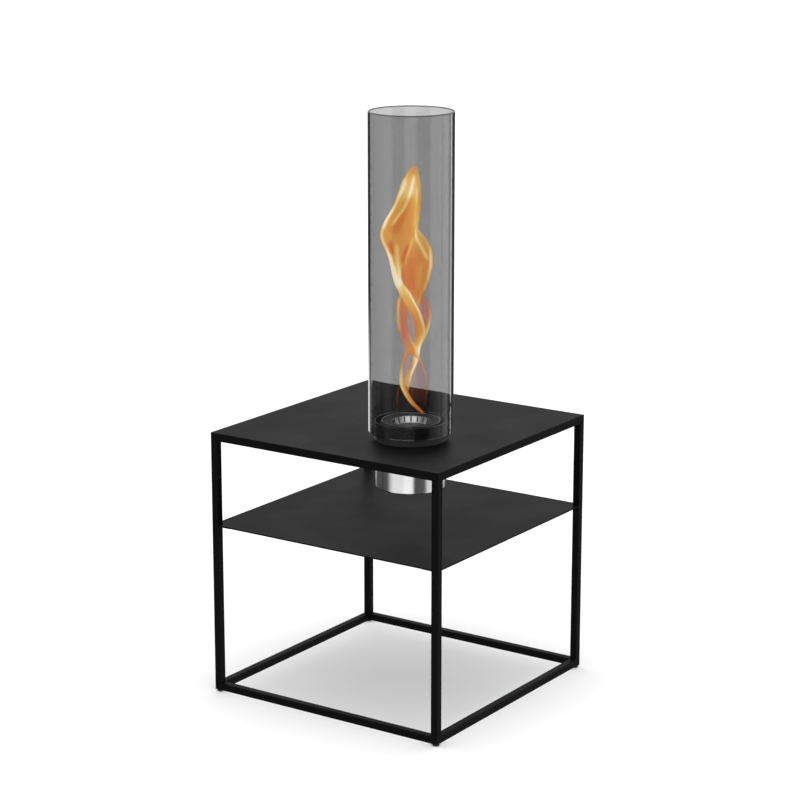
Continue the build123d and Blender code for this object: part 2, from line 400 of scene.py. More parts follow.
paint = new_finish("funnel_steel")
here = paint.place()
x, y, _ = paint.split(here)
across, along = x - axis.x, y - axis.y
radius = (across * across + along * along) ** 0.5
dark = paint.remap(radius, mouth_radius - 1 * MM, mouth_radius + 2 * MM)
# A painted highlight: a thin band at the ring's outer edge gets the collar's bright colour
painted_rim_highlight = paint.remap(radius, funnel_radius - 1.6 * MM, funnel_radius - 0.6 * MM)
smudge = paint.noise(here, scale=120.0, detail=4.0)
ring = paint.mottle(smudge, grey(0.06), grey(0.1))
paint.principled({
    "Base Color": paint.blend(dark * (1 - painted_rim_highlight), grey(0.5), ring),
    "Metallic": 1.0,
    "Roughness": 0.2 + dark * 0.14 + smudge * 0.06,
    "Specular Tint": grey(0.5),
    "Normal": paint.bump(smudge, distance=0.01 * MM, strength=0.3),
})
print("funnel steel has", len(paint.tree.nodes), "nodes")

# %% [markdown]
# Ceramic wool is a matt white felt that has turned grey in the flame. Its colour breaks up at
# the scale of single fibres, so one fine noise gives both the colour and the small bumps.

# %% Ceramic wool
paint = new_finish("ceramic_wool")
fluff = paint.noise(paint.place(), scale=700.0, detail=6.0, roughness=0.7)
paint.principled({
    "Base Color": paint.mottle(fluff, (0.3, 0.29, 0.28, 1), (0.5, 0.49, 0.47, 1)),
    "Roughness": 0.95,
    "Normal": paint.bump(fluff, distance=0.5 * MM, strength=0.8),
})
print("ceramic wool has", len(paint.tree.nodes), "nodes")

# %% [markdown]
# The foot glides are moulded black plastic, matt from a spark-eroded mould.

# %% Glide plastic
paint = new_finish("glide_plastic")
grain = paint.noise(paint.place(), scale=1200.0)
paint.principled({
    "Base Color": paint.blend(grain, grey(0.01), grey(0.016)),
    "Roughness": 0.5,
    "Normal": paint.bump(grain, distance=0.02 * MM, strength=0.3),
})
print("glide plastic has", len(paint.tree.nodes), "nodes")

# %% [markdown]
# The chimney is grey tinted glass. Real absorption depends on how far light runs through the
# wall, so a tube is darkest along its two sides. A tint on the surface is cheaper and survives
# the export, so the share that faces away from the eye is darkened instead. A coat gives the
# gloss of both faces of the wall, while a low index keeps what stands behind it straight. Faint
# streaks of noise run along the tube, because a drawn tube is never quite even, and two bands,
# set across the tube as the lens sees it, are a little darker. Its ground lower edge shines over
# its whole width.

# %% Smoked glass
GLASS_TINT = 0.484
BAND_TINT = 0.438
RIM_TINT = 0.12
LIMB_TINT = 0.002
LIMB_START, LIMB_END = 0.655, 0.685
GROUND_EDGE = 2.6 * MM
EDGE_BLUR = 0.3 * MM
# Darker bands along the tube, in radii: the middle, and how far it is dark and then fades
GLASS_BANDS = [(-0.3, 0.08, 0.18), (0.28, 0.1, 0.2)]
BAND_SHARE = 0.8

glass_low, glass_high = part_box("glass_chimney")
glass_centre = (glass_low + glass_high) / 2
glass_outer = (glass_high.x - glass_low.x) / 2

paint = new_finish("smoked_glass")
here = paint.place()
x, y, z = paint.split(here)
sideways = (x - glass_centre.x) * math.cos(LENS_TURN) + (y - glass_centre.y) * math.sin(LENS_TURN)
across = sideways / glass_outer
streaks = paint.noise(paint.stretch(here, (55.0, 55.0, 0.8)), scale=1.0)
bands = paint.spread(streaks, 0.0, 1 - BAND_SHARE)
for middle, full, end in GLASS_BANDS:
    away = (across - middle) * (across - middle)
    bands += paint.remap(away, full**2, end**2, BAND_SHARE, 0.0)
body = paint.blend(bands, grey(GLASS_TINT), grey(BAND_TINT))
facing = paint.node("ShaderNodeLayerWeight", {}, {"Blend": 0.5}, output="Facing")
outside = paint.mark("outside")
limb = paint.remap(facing, LIMB_START, LIMB_END) * outside
foot = paint.remap(z - glass_low.z, GROUND_EDGE - EDGE_BLUR, GROUND_EDGE + EDGE_BLUR, 1.0, 0.0)
gloss = paint.remap(facing, 0.1, 0.45, 0.12, 1.0)
shaded = paint.blend(paint.mark("rim"), body, grey(RIM_TINT))
paint.principled({
    "Base Color": paint.blend(limb, shaded, grey(LIMB_TINT)),
    "Roughness": 0.0,
    "IOR": 1.03,
    "Transmission Weight": 1.0,
    "Coat Weight": higher(gloss, foot) * outside,
    "Coat Roughness": 0.0,
    "Coat IOR": 1.6,
})
print("smoked glass has", len(paint.tree.nodes), "nodes")

# %% [markdown]
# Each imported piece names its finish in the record, so dressing them is one loop. The sheet top
# and the rails round it are hidden from reflections: otherwise the glass would mirror a dark
# table in its lowest part, which the photograph doesn't show. The bottom rails lie so low that
# they would draw dark lines on the floor, and the photograph has none, so they cast no shadow.

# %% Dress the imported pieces
for subpart in frame["record"]["subparts"]:
    piece = nodes[subpart["node"]]
    piece.data.materials.clear()
    piece.data.materials.append(finishes[subpart["material_slot"]])
nodes["table_top"].visible_glossy = False
for side_name in ("front", "right", "back", "left"):
    nodes["top_rail_" + side_name].visible_glossy = False
    rail = nodes["bottom_rail_" + side_name]
    rail.visible_diffuse = False
    rail.visible_shadow = False
print("dressed", len(nodes), "packed pieces in their finishes")

# %% [markdown]
# The chimney is a plain drawn glass tube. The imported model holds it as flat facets, which would
# show as stripes where light bends through them. It is one outline turned about an axis, so a
# ring of many points at each corner of the outline gives a smooth closed body.

# %% Glass chimney
GLASS_SIDES = 192
GLASS_WALL = 3.0 * MM
RIM_STEPS = 6
RIM_MARGIN = 0.5 * MM


def rounded_wall(outer, inner, low, high):
    """The outline of a tube's wall with both rims fire polished to half circles."""
    middle = (outer + inner) / 2
    radius = (outer - inner) / 2
    outline = []
    for centre, start, inwards in ((low + radius, math.pi, 1), (high - radius, 0.0, -1)):
        arc = []
        for step in range(RIM_STEPS + 1):
            angle = start + math.pi * step / RIM_STEPS
            arc.append((middle + radius * math.cos(angle), centre + radius * math.sin(angle)))
        # A point just past each end of the arc keeps the long wall's shading flat
        margin = centre + inwards * RIM_MARGIN
        outline += [(arc[0][0], margin), *arc, (arc[-1][0], margin)]
    return outline


def on_circle(centre, radius, step, steps):
    """The x and y of one of the steps round a circle."""
    angle = 2 * math.pi * step / steps
    return centre[0] + radius * math.cos(angle), centre[1] + radius * math.sin(angle)


def ring_faces(sides, count, first=0):
    """Faces that join each side's section, a closed loop of so many points, to the next one."""
    faces = []
    for side in range(sides):
        here, following = first + side * count, first + (side + 1) % sides * count
        for i in range(count):
            j = (i + 1) % count
            faces.append((here + i, following + i, following + j, here + j))
    return faces


def smooth_piece(name, points, faces, material):
    mesh = mesh_of(name, points, [], faces)
    mesh.shade_smooth()
    mesh.materials.append(material)
    return placed(name, mesh)


def paint_mark(piece, label, values):
    """Writes one number onto each point, for a material to read."""
    piece.data.attributes.new(label, "FLOAT", "POINT").data.foreach_set("value", values)


outline = rounded_wall(glass_outer, glass_outer - GLASS_WALL, glass_low.z, glass_high.z)
points = []
for side in range(GLASS_SIDES):
    for radius, height in outline:
        points.append((*on_circle(glass_centre, radius, side, GLASS_SIDES), height))
faces = ring_faces(GLASS_SIDES, len(outline))
chimney = smooth_piece("chimney_tube", points, faces, finishes["smoked_glass"])
chimney.visible_glossy = False
outside_marks, rim_marks = [], []
for point in chimney.data.vertices:
    radius = math.hypot(point.co.x - glass_centre.x, point.co.y - glass_centre.y)
    outside_marks.append((radius - glass_outer + GLASS_WALL) / GLASS_WALL)
    from_end = min(point.co.z - glass_low.z, glass_high.z - point.co.z)
    rim_marks.append(1.0 if from_end < (GLASS_WALL + RIM_MARGIN) / 2 else 0.0)
paint_mark(chimney, "outside", outside_marks)
paint_mark(chimney, "rim", rim_marks)
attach(chimney, "glass")
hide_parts("glass_chimney")
print("glass is", round(2 * glass_outer / MM, 1), "mm across, with", len(faces), "faces")

# %% [markdown]
# Weld beads, threads and fibres are small shapes that repeat along a line or over a face. They
# could be placed by loops, but Geometry Nodes do this kind of work well: one tree describes the
# pattern, and a few named inputs change it later. A tree is written here with the same short
# class as a shader, and its result is turned into a plain mesh, because an exported model
# knows neither modifiers nor instances.

# %% A short way to write geometry trees
RECIPE_SHARP = math.radians(40)


class Recipe(Graph):
    """A geometry tree with named inputs. It takes a mesh in and gives a finished mesh out."""

    def __init__(self, name, inputs):
        super().__init__(bpy.data.node_groups.new(name, "GeometryNodeTree"))
        sockets = self.tree.interface
        sockets.new_socket("Geometry", in_out="INPUT", socket_type="NodeSocketGeometry")
        sockets.new_socket("Geometry", in_out="OUTPUT", socket_type="NodeSocketGeometry")
        for label, kind in inputs.items():
            sockets.new_socket(label, in_out="INPUT", socket_type="NodeSocket" + kind)
        self.entry = self.tree.nodes.new("NodeGroupInput")
        self.exit = self.tree.nodes.new("NodeGroupOutput")

    def given(self, label):
        return Signal(self, self.entry.outputs[label])

    def random(self, low, high, seed):
        sockets = {2: low, 3: high, "Seed": seed}
        return self.node("FunctionNodeRandomValue", {"data_type": "FLOAT"}, sockets, output=1)

    def vector(self, x=0.0, y=0.0, z=0.0):
        return self.node("ShaderNodeCombineXYZ", {}, {0: x, 1: y, 2: z})

    def raised(self, geometry, height):
        sockets = {"Geometry": geometry, "Translation": self.vector(z=height)}
        return self.node("GeometryNodeTransform", {}, sockets)

    def copies(self, points, instance, **others):
        sockets = {"Points": points, "Instance": instance, **others}
        return self.node("GeometryNodeInstanceOnPoints", {}, sockets)

    def tube(self, curve, radius, sides):
        """A closed tube along a curve."""
        sockets = {"Resolution": sides, "Radius": radius}
        section = self.node("GeometryNodeCurvePrimitiveCircle", {}, sockets)
        sockets = {"Curve": curve, "Profile Curve": section, "Fill Caps": True}
        return self.node("GeometryNodeCurveToMesh", {}, sockets)

    def finish(self, geometry, material):
        solid = self.node("GeometryNodeRealizeInstances", {}, {"Geometry": geometry})
        painted = self.node("GeometryNodeSetMaterial", {}, {"Geometry": solid, "Material": material})
        self.tree.links.new(painted.socket, self.exit.inputs["Geometry"])


def run_recipe(recipe, name, source_mesh, values):
    """Runs a tree on a mesh, and returns the result as a plain object at the origin."""
    source = placed(name + "_source", source_mesh)
    modifier = source.modifiers.new(name, "NODES")
    modifier.node_group = recipe.tree
    for item in recipe.tree.interface.items_tree:
        if item.name in values:
            modifier[item.identifier] = values[item.name]
    evaluated = source.evaluated_get(bpy.context.evaluated_depsgraph_get())
    mesh = bpy.data.meshes.new_from_object(evaluated)
    mesh.name = name
    mesh.shade_smooth()
    mesh.set_sharp_from_angle(angle=RECIPE_SHARP)
    source.modifiers.remove(modifier)
    bpy.data.objects.remove(source)
    return placed(name, mesh)


print("a recipe's inputs are set by the identifier of each socket")

# %% [markdown]
# The tubes, corner plates and shelf brackets are welded where the eye doesn't reach: in the
# inner corners and under the sheets. A weld bead is a row of small frozen drops, each laid half
# over the last one, so the tree strings small balls along a line, no two quite alike.

# %% Weld bead recipe
welds = Recipe("weld_bead", {
    "Spacing": "Float", "Radius": "Float", "Unevenness": "Float", "Seed": "Int"})
lines = welds.node("GeometryNodeMeshToCurve", {}, {"Mesh": welds.given("Geometry")})
spots = welds.node("GeometryNodeResampleCurve", {"mode": "LENGTH"}, {
    "Curve": lines, "Length": welds.given("Spacing")})
drop = welds.node("GeometryNodeMeshIcoSphere", {}, {"Radius": welds.given("Radius"), "Subdivisions": 2})
uneven = welds.given("Unevenness")
drop_size = welds.random(1 - uneven, uneven + 1, welds.given("Seed"))
welds.finish(welds.copies(spots, drop, Scale=drop_size), finishes["powder_coat"])
print("weld recipe has", len(welds.tree.nodes), "nodes")

# %% Weld beads
WELD_RADIUS = 1.1 * MM
WELD_SPACING = 1.1 * MM
STITCH = 12 * MM

bracket_low, bracket_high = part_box("shelf_bracket_front_right")
bottom_low, bottom_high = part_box("bottom_rail_front")
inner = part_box("leg_front_right")[0].x
plate_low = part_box("corner_plate_front_right")[0]
top_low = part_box("top_rail_front")[0]
arm = bracket_high.x - WELD_RADIUS
corner_lines = [
    ((inner, -inner, bottom_low.z + WELD_RADIUS), (inner, -inner, bottom_high.z - WELD_RADIUS)),
    ((inner, -inner, top_low.z + WELD_RADIUS), (inner, -inner, plate_low.z)),
    ((inner, -inner, bracket_low.z), (inner, -arm, bracket_low.z)),
    ((inner, -inner, bracket_low.z), (arm, -inner, bracket_low.z)),
]
for start in (plate_low.x + STITCH / 4, inner - 1.5 * STITCH):
    corner_lines.append(((start, -inner, plate_low.z), (start + STITCH, -inner, plate_low.z)))
    corner_lines.append(((inner, -start, plate_low.z), (inner, -start - STITCH, plate_low.z)))
points = []
for turn in range(4):
    for line in corner_lines:
        for x, y, z in line:
            for _ in range(turn):
                x, y = -y, x
            points.append((x, y, z))
edges = [(i, i + 1) for i in range(0, len(points), 2)]
weld_values = {"Spacing": WELD_SPACING, "Radius": WELD_RADIUS, "Unevenness": 0.12, "Seed": 4}
beads = run_recipe(welds, "weld_beads", mesh_of("weld_lines", points, edges), weld_values)
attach(beads, "table")
print("weld beads:", len(edges), "lines,", len(beads.data.polygons), "faces")

# %% [markdown]
# The sheet top is held by four weld studs and nuts under its corners. A real stud is a core
# with a spiral ridge. The tree winds the ridge as a coil, adds the core, and puts one copy at
# each point, so the thread's pitch stays one number that can be looked up in a table.

# %% Threaded stud recipe
# Both are shares of the pitch
CORE_DEPTH = 0.54
RIDGE_RADIUS = 0.36

studs = Recipe("threaded_stud", {"Length": "Float", "Radius": "Float", "Pitch": "Float"})
pitch = studs.given("Pitch")
coil_height = studs.given("Length") - pitch
coil_radius = studs.given("Radius") - pitch * RIDGE_RADIUS
coil = studs.node("GeometryNodeCurveSpiral", {}, {
    "Resolution": 20, "Rotations": coil_height / pitch, "Height": coil_height,
    "Start Radius": coil_radius, "End Radius": coil_radius})
ridge = studs.raised(studs.tube(coil, pitch * RIDGE_RADIUS, 6), pitch / 2)
core = studs.node("GeometryNodeMeshCylinder", {}, {
    "Vertices": 24, "Radius": studs.given("Radius") - pitch * CORE_DEPTH,
    "Depth": studs.given("Length")})
core = studs.raised(core, studs.given("Length") / 2)
pin = studs.node("GeometryNodeJoinGeometry", {}, {"Geometry": core})
studs.tree.links.new(ridge.socket, pin.socket.node.inputs["Geometry"])
studs.finish(studs.copies(studs.given("Geometry"), pin), finishes["zinc_steel"])
print("stud recipe has", len(studs.tree.nodes), "nodes")

# %% Studs under the top
STUD_RADIUS = 2.5 * MM
STUD_PITCH = 0.8 * MM

stud_low, stud_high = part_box("top_studs")
stud_place = stud_high.x - STUD_RADIUS
stud_length = stud_high.z - stud_low.z
stud_points = [(x, y, stud_low.z) for x in (-stud_place, stud_place) for y in (-stud_place, stud_place)]
stud_values = {"Length": stud_length, "Radius": STUD_RADIUS, "Pitch": STUD_PITCH}
pins = run_recipe(studs, "threaded_studs", mesh_of("stud_points", stud_points), stud_values)
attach(pins, "table")
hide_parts("top_studs")
print("each stud is", round(stud_length / MM, 1), "mm long")

# %% [markdown]
# A hexagon nut isn't a plain prism. Its corners are turned down to a cone of 30 degrees on both
# ends, which leaves the curved edges that make it look like a nut. A point's height therefore
# falls with its distance beyond the round face, and one formula gives the whole shape.

# %% Nuts under the top
NUT_SIDES = 48
NUT_SLOPE = math.tan(math.radians(30))
NUT_SHARP = math.radians(25)
FLAT_REACH = 4.0 * MM
ROUND_FACE = FLAT_REACH * 0.95

nut_low, nut_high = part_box("top_nuts")
nut_height = nut_high.z - nut_low.z
points, faces = [], []
for place in stud_points:
    first = len(points)
    for side in range(NUT_SIDES):
        angle = 2 * math.pi * side / NUT_SIDES
        from_flat = (angle + math.pi / 6) % (math.pi / 3) - math.pi / 6
        reach = FLAT_REACH / math.cos(from_flat)
        fall = (reach - ROUND_FACE) * NUT_SLOPE
        section = [(STUD_RADIUS, 0), (ROUND_FACE, 0), (reach, fall), (reach, nut_height - fall),
                   (ROUND_FACE, nut_height), (STUD_RADIUS, nut_height)]
        for radius, height in section:
            points.append((*on_circle(place, radius, side, NUT_SIDES), nut_low.z + height))
    faces += ring_faces(NUT_SIDES, len(section), first)
nuts = smooth_piece("hexagon_nuts", points, faces, finishes["zinc_steel"])
nuts.data.set_sharp_from_angle(angle=NUT_SHARP)
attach(nuts, "table")
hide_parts("top_nuts")
print("nuts are", round(2 * FLAT_REACH / MM, 1), "mm across the flats")

# %% [markdown]
# Ceramic wool fills the fuel can, so that the fuel can't spill. It is a packed plug of short
# mineral fibres. The plug is an outline turned about the burner's axis, with a top that noise has
# sunk unevenly, and loose fibres lie on it, placed by a tree.

# %% Wool plug
WOOL_SIDES = 72
WOOL_RINGS = 14
COLLAR_DRAFT = math.radians(17)
COLLAR_DROP = 1.7 * MM
WOOL_CLEARANCE = 0.4 * MM
SHOULDER_GAP = 1.0 * MM
SHOULDER_FALL = 0.3 * MM
WOOL_CORNER = 4.0 * MM
NECK_BEVEL = 0.6 * MM
NECK_FALL = 1.2 * MM
LUMP_HEIGHT = 1.1 * MM
LUMP_SIZE = 6.0 * MM
FINE_LUMPS = 2.7

wool_low, wool_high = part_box("ceramic_wool")


def neck_radius(height):
    """The wool's radius inside the tapered collar at a height."""
    under_mouth = funnel_high.z - COLLAR_DROP - height
    return mouth_radius - under_mouth * math.tan(COLLAR_DRAFT) - WOOL_CLEARANCE


def lump(x, y):
    """How far the wool's top is sunk at a place, from two sizes of noise."""
    wide = noise.noise(Vector((x, y, 0)) / LUMP_SIZE)
    fine = noise.noise(Vector((x, y, 3)) / LUMP_SIZE * FINE_LUMPS)
    return LUMP_HEIGHT * (0.55 + 0.35 * wide + 0.2 * fine)


def wool_top(x, y):
    return (x, y, wool_high.z - lump(x, y))


wool_radius = (wool_high.x - wool_low.x) / 2
neck, foot = neck_radius(wool_high.z), neck_radius(funnel_low.z)
shoulder = funnel_low.z - SHOULDER_GAP
wool_outline = [(neck * i / WOOL_RINGS, wool_high.z) for i in range(1, WOOL_RINGS + 1)]
wool_outline += [
    (neck - NECK_BEVEL, wool_high.z - NECK_FALL), (foot, funnel_low.z), (foot, shoulder),
    (wool_radius - WOOL_CORNER, shoulder - SHOULDER_FALL), (wool_radius, shoulder - WOOL_CORNER),
    (wool_radius, wool_low.z + WOOL_CORNER), (wool_radius - WOOL_CORNER, wool_low.z),
]
points = [wool_top(axis.x, axis.y), (axis.x, axis.y, wool_low.z)]
for radius, height in wool_outline:
    for side in range(WOOL_SIDES):
        x, y = on_circle(axis, radius, side, WOOL_SIDES)
        points.append(wool_top(x, y) if height == wool_high.z else (x, y, height))
faces = []
last = 2 + (len(wool_outline) - 1) * WOOL_SIDES
for side in range(WOOL_SIDES):
    following = (side + 1) % WOOL_SIDES
    faces.append((0, 2 + side, 2 + following))
    faces.append((1, last + following, last + side))
    for ring in range(2, last, WOOL_SIDES):
        outer = ring + WOOL_SIDES
        faces.append((ring + side, outer + side, outer + following, ring + following))
wool = smooth_piece("wool_plug", points, faces, finishes["ceramic_wool"])
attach(wool, "fuel_can")
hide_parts("ceramic_wool")
print("wool top is", round(2 * neck / MM, 1), "mm across")

# %% [markdown]
# Loose fibres lie on the wool's top, each a short bowed hair that leans a little. The tree
# scatters points over a small bed on the wool, inside the neck, and puts a hair on each point.

# %% Fibre recipe
LEAN = 0.22

fibres = Recipe("loose_fibres", {
    "Density": "Float", "Length": "Float", "Thickness": "Float", "Seed": "Int"})
spots = fibres.node("GeometryNodeDistributePointsOnFaces", {}, {
    "Mesh": fibres.given("Geometry"), "Density": fibres.given("Density"), "Seed": fibres.given("Seed")})
reach = fibres.given("Length") / 2
bow = fibres.node("GeometryNodeCurveQuadraticBezier", {}, {
    "Resolution": 6,
    "Start": fibres.vector(reach * -1, reach * 0.3),
    "Middle": fibres.vector(0.0, reach * -0.5, reach * 0.25),
    "End": fibres.vector(reach, reach * 0.2),
})
turned_way = fibres.vector(
    fibres.random(-LEAN, LEAN, 1), fibres.random(-LEAN, LEAN, 2), fibres.random(0.0, 2 * math.pi, 3))
hair = fibres.tube(bow, fibres.given("Thickness") / 2, 4)
hairs = fibres.copies(spots, hair, Rotation=turned_way, Scale=fibres.random(0.5, 1.0, 4))
fibres.finish(hairs, finishes["ceramic_wool"])
print("fibre recipe has", len(fibres.tree.nodes), "nodes")

# %% Loose fibres
FIBRE_LENGTH = 8.0 * MM
FIBRE_THICKNESS = 0.16 * MM
BED_SIDES = 24
BED_RINGS = 6

points = [wool_top(axis.x, axis.y)]
faces = []
for ring in range(BED_RINGS):
    radius = (neck - FIBRE_LENGTH / 2) * (ring + 1) / BED_RINGS
    for side in range(BED_SIDES):
        points.append(wool_top(*on_circle(axis, radius, side, BED_SIDES)))
        here = 1 + ring * BED_SIDES + side
        following = 1 + ring * BED_SIDES + (side + 1) % BED_SIDES
        if ring:
            faces.append((here - BED_SIDES, here, following, following - BED_SIDES))
        else:
            faces.append((0, here, following))
fibre_values = {"Density": 4.5e5, "Length": FIBRE_LENGTH, "Thickness": FIBRE_THICKNESS, "Seed": 11}
loose = run_recipe(fibres, "wool_fibres", mesh_of("fibre_bed", points, [], faces), fibre_values)
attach(loose, "fuel_can")
print("fibres:", len(loose.data.polygons), "faces")

# %% [markdown]
# The flame is the one piece that is no solid at all: gas that glows. It could be a volume, but
# a swirling flame in a chimney is a few thin glowing sheets wound round each other, so each
# sheet is made as a closed, lens-thin ribbon. Its keys are listed from top to bottom.
# They say where the left and right edges are as seen from the lens, and how deep each edge
# lies, so that the ribbons really wind round the axis and look right from any side.

# %% Flame keys
# In mm: height over the table top, then across and depth of the left edge, then of the right edge
SHEET_KEYS = [
    (401, 3.5, 4, 5, 4), (397, 0, 3, 8.5, 5), (390, -5, 1, 11, 6), (378, -12.5, -2, 13.5, 8),
    (363, -18, -4, 14.5, 10), (346, -24, -6, 14.5, 12), (331, -31.5, -8, 13.5, 14),
    (320, -38, -11, 12, 14), (308, -43, -13, 10.5, 13), (299, -45, -14, 7.5, 12),
    (290, -43.5, -17, 4, 12), (280, -39, -21, 0, 11), (266, -33.5, -26, -6, 10),
    (251, -29.5, -30, -12.5, 8), (237, -26.5, -32, -14, 6), (225, -23, -30, -9, 0),
    (218, -19.5, -28, -3, -4), (209, -15.5, -24, 2, -7), (199, -10, -20, 7.5, -8),
    (187, -3, -12, 14, -7), (175, 3, -6, 18, -6), (164, 5.5, 0, 21, -2), (156, 6.5, 2, 21.5, 2),
    (145, 6, 9, 18, 6), (133, 5, 14, 14.5, 8), (121, 3, 16, 12.5, 8), (108, -0.5, 16, 8.5, 6),
    (97, -6, 11, 4, 4), (84, -10.5, 6, 0.5, 2), (75, -9, 3, -1.5, 1), (68, -5.5, 0, -3, 0),
]
PANEL_KEYS = [
    (378, 5.5, 8, 10, 8), (361, 3, 10, 12.5, 8), (339, 1.5, 12, 13, 7), (320, 0.5, 14, 12, 6),
    (308, 0, 16, 11, 4), (299, -1.5, 18, 18, 2), (290, -3, 20, 24.5, 0), (279, -6, 23, 29.5, -2),
    (267, -10.5, 26, 31, -4), (256, -13, 28, 31, -5), (244, -14.5, 28, 29, -6), (234, -13, 28, 26.5, -6),
    (224, -8.5, 24, 23, -3), (213, -1.5, 20, 18, 2), (203, 5, 15, 14.5, 6), (193, 10.5, 10, 12.5, 10),
]
LEFT_STRAND_KEYS = [
    (221, -15.5, 10, -12.5, 10), (212, -18, 8, -11, 11), (200, -21, 6, -5.5, 12), (186, -21.5, 2, -3.5, 9),
    (171, -20.5, -2, -5, 6), (157, -18, -7, -2, 2), (145, -14.5, -12, 3, -2), (133, -8.5, -16, 9, -6),
    (124, 0, -15, 12, -8), (116, 10, -14, 15.5, -10), (107, 14, -11, 19, -7), (95, 17.5, -8, 23, -4),
    (84, 19.5, -3, 25, 1), (72, 20.5, 2, 25.5, 6), (60, 19.5, 5, 24, 9), (47, 17.5, 8, 21.5, 12),
]
RIGHT_STRAND_KEYS = [
    (224, 15.5, -4, 18, -4), (213, 13.5, -7, 19.5, -3), (205, 12.5, -10, 24, -2), (194, 14, -8, 28.5, 1),
    (183, 17, -6, 30, 4), (171, 19.5, -1, 29, 7), (159, 19, 4, 25.5, 10), (149, 11, 9, 21.5, 14),
    (140, 1.5, 14, 17, 18), (132, -7.5, 13, 9, 17), (123, -12, 12, -2, 16), (113, -15, 7, -9, 12),
    (101, -17, 2, -11, 8), (89, -17.5, -3, -10.5, 3), (79, -16.8, -8, -9, -2), (69, -13, -9, -4, -3),
    (60, -8, -10, 1, -4), (51, -1.5, -6, 7.5, 0), (44, 6, -2, 14.5, 4), (38, 12.5, 4, 19.5, 8),
    (35, 17, 8, 20, 10),
]
VEIL_KEYS = [
    (204, -15, 21, 17, 21), (190, -18, 22, 26, 22), (174, -18, 22, 27, 22), (160, -15.5, 22, 23.5, 22),
    (146, -12, 22, 18, 22), (132, -10, 21, 13, 21), (118, -13, 20, 15, 20), (104, -15, 19, 20, 19),
    (90, -14.5, 19, 23, 19), (76, -12, 19, 23, 19), (64, -7, 19, 22.5, 19), (54, -1, 19, 20, 19),
]
WISP_KEYS = [
    (81, -17.5, 0, -14.5, 0), (72, -20.5, -2, -17, -1), (60, -22.5, -4, -18, -3),
    (49, -21.5, -6, -18, -5), (43, -20.5, -6, -18, -6),
]

# Height, heat in the middle, extra heat along the left and right edges, and cover
SHEET_HEAT = [
    (401, 0.15, 0, 0, 0.5), (390, 0.4, 0.1, 0.1, 0.85), (363, 0.62, 0.1, -0.2, 0.92),
    (346, 0.45, 0, -0.1, 0.92), (331, 0.38, 0.35, 0, 0.92), (299, 0.36, 0.45, 0, 0.92),
    (280, 0.36, 0.5, 0, 0.9), (266, 0.38, 0.75, 0, 0.9), (251, 0.5, 0.6, -0.1, 0.92),
    (237, 0.72, 0.4, -0.1, 0.95), (225, 0.8, 0.2, -0.1, 0.95), (209, 0.52, 0.1, 0.45, 0.92),
    (187, 0.42, -0.1, 0.5, 0.9), (164, 0.36, -0.1, 0.3, 0.88), (145, 0.55, -0.2, 0.2, 0.9),
    (130, 0.8, -0.1, 0.3, 0.9), (121, 0.75, -0.1, 0.35, 0.9), (108, 0.35, -0.1, 0.75, 0.8),
    (90, 0.3, 0.1, 0.5, 0.75), (75, 0.3, 0.1, 0.1, 0.5), (68, 0.2, 0, 0, 0.1),
]
PANEL_HEAT = [
    (378, 0.35, 0, 0, 0.2), (339, 0.5, 0, 0, 0.8), (308, 0.62, 0.1, 0, 0.85),
    (290, 0.4, 0, 0.1, 0.85), (267, 0.3, -0.1, 0.55, 0.88), (244, 0.27, -0.1, 0.45, 0.88),
    (224, 0.24, 0, 0.25, 0.88), (203, 0.25, 0.1, 0.2, 0.85), (193, 0.2, 0, 0.2, 0.7),
]
LEFT_STRAND_HEAT = [
    (221, 0.2, 0, 0, 0.2), (205, 0.25, 0.4, 0, 0.75), (186, 0.15, 0.5, -0.1, 0.7),
    (165, 0.05, 0.45, 0, 0.62), (150, 0.05, 0.15, 0.3, 0.55), (133, 0.3, 0, 0.5, 0.62),
    (116, 0.15, 0, 0.35, 0.55), (95, 0.05, 0, 0.3, 0.34), (72, 0, 0, 0.05, 0.16),
    (47, 0, 0, 0, 0.04),
]
RIGHT_STRAND_HEAT = [
    (224, 0.1, 0, 0, 0.2), (205, 0, 0, 0.1, 0.5), (183, 0, 0, 0.55, 0.5),
    (165, 0.15, 0, 0.65, 0.68), (149, 0.4, 0, 0.3, 0.72), (132, 0.3, 0, 0, 0.6),
    (113, 0.2, 0.15, 0, 0.6), (92, 0.35, 0.4, 0, 0.8), (76, 0.5, 0.3, -0.1, 0.85),
    (60, 0.42, 0.15, -0.2, 0.8), (48, 0.25, 0.1, -0.1, 0.7), (38, 0.15, 0, 0, 0.5),
    (35, 0.1, 0, 0, 0.2),
]
VEIL_HEAT = [
    (204, 0, 0, 0, 0.04), (180, 0, 0, 0, 0.16), (132, 0, 0, 0, 0.18),
    (90, 0, 0, 0, 0.12), (54, 0, 0, 0, 0.03),
]
WISP_HEAT = [(81, 0, 0, 0, 0.06), (66, 0, 0.05, 0, 0.16), (43, 0, 0, 0, 0.03)]

# Streaks that run down a sheet: heat, half width, then height and across at each point
SHEET_STREAKS = [
    (0.4, 2.6, [(388, 5), (368, 1), (346, -6), (336, -11), (324, -19.5), (310, -29)]),
    (0.34, 2.4, [(382, -7), (368, -10.5), (350, -19), (333, -27), (316, -36), (304, -39)]),
    (-0.2, 6.0, [(356, -2), (331, -11), (312, -19), (298, -24)]),
    (0.2, 2.2, [(372, 8.5), (350, 8), (331, 7), (308, 4)]),
    (-0.3, 3.2, [(292, -29), (280, -29), (266, -27)]),
    (0.3, 3.0, [(288, -21), (272, -20), (254, -18.5), (236, -15), (222, -15)]),
    (-0.34, 2.4, [(288, -3), (276, -7.5), (266, -11), (254, -13)]),
    (0.22, 2.0, [(298, 3.5), (282, -1), (266, -5.5), (254, -9)]),
    (0.3, 3.4, [(258, -27), (247, -26), (236, -22), (222, -18)]),
]
